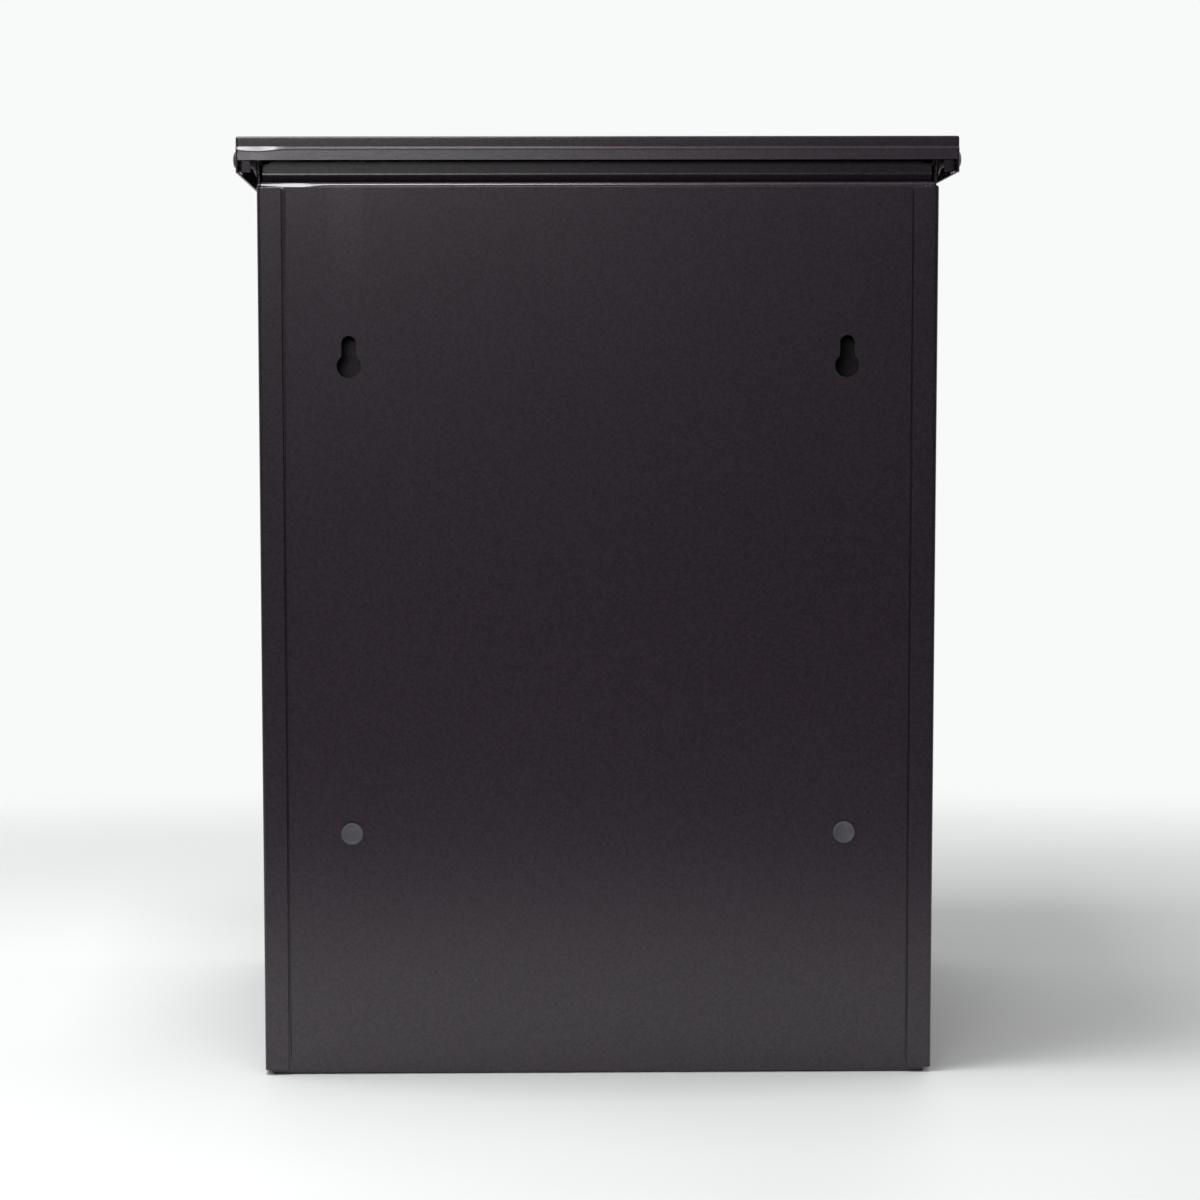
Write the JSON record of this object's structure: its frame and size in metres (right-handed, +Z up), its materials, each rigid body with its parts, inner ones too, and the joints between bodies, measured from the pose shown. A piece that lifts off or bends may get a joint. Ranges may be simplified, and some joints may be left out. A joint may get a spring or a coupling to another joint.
{
  "type": "wall mounted mailbox",
  "caption": "Folded sheet steel parcel mailbox for a wall: sloping lift-up lid with an anti-theft swing plate, locking front door, keyhole slots in the back.",
  "frame": {"origin": "on the floor, at the centre of the overall box in plan", "axes": "+Z up; -Y towards the door, +Y towards the wall it hangs on; +X to the right when facing the door"},
  "size_m": [0.4382, 0.35, 0.5737],
  "materials": {
    "coat": "fine-textured charcoal black powder coat, satin",
    "zinc": "bright zinc plate",
    "chrome": "polished chrome plate",
    "rubber": "black moulded rubber",
    "nylon": "black moulded nylon",
    "plug": "dark grey moulded polyethylene"
  },
  "bodies": {
    "case": {"side_panel_left": "coat", "side_panel_right": "coat", "back_panel": "coat", "floor_pan": "coat", "front_sill": "coat", "front_rail": "coat", "door_stop_rail": "coat", "door_buffer_top": "rubber", "door_buffer_bottom": "rubber", "hole_plug_left": "plug", "hole_plug_right": "plug", "lid_rest_left": "rubber", "lid_rest_right": "rubber", "pivot_bush_left": "nylon", "pivot_bush_right": "nylon", "door_pin_top": "zinc", "door_pin_bottom": "zinc", "door_washer_top": "nylon", "door_washer_bottom": "nylon"},
    "lid": {"lid_hood": "coat", "lid_pull": "coat", "swing_plate": "coat", "pivot_bracket_left": "coat", "pivot_bracket_right": "coat", "pivot_rivet_left": "coat", "pivot_rivet_right": "coat", "plate_stud_1": "zinc", "plate_stud_2": "zinc", "plate_stud_3": "zinc", "plate_stud_4": "zinc"},
    "door": {"door_panel": "coat", "door_stiffener": "coat", "lock_housing": "chrome", "lock_nut": "zinc"},
    "lock": {"lock_plug": "chrome", "lock_cam": "zinc", "cam_screw": "zinc"}
  },
  "joints": [
    {"name": "lid_pivot", "type": "hinge", "parent": "case", "child": "lid", "pos_m": [0, 0.1555, 0.559], "axis": [-1, 0, 0], "range_deg": [0, 80]},
    {"name": "door_hinge", "type": "hinge", "parent": "case", "child": "door", "pos_m": [-0.17425, -0.147, 0.25], "axis": [0, 0, -1], "range_deg": [0, 100]},
    {"name": "lock_turn", "type": "hinge", "parent": "door", "child": "lock", "pos_m": [0.14825, -0.155, 0.38038], "axis": [0, -1, 0], "range_deg": [0, 90]}
  ]
}
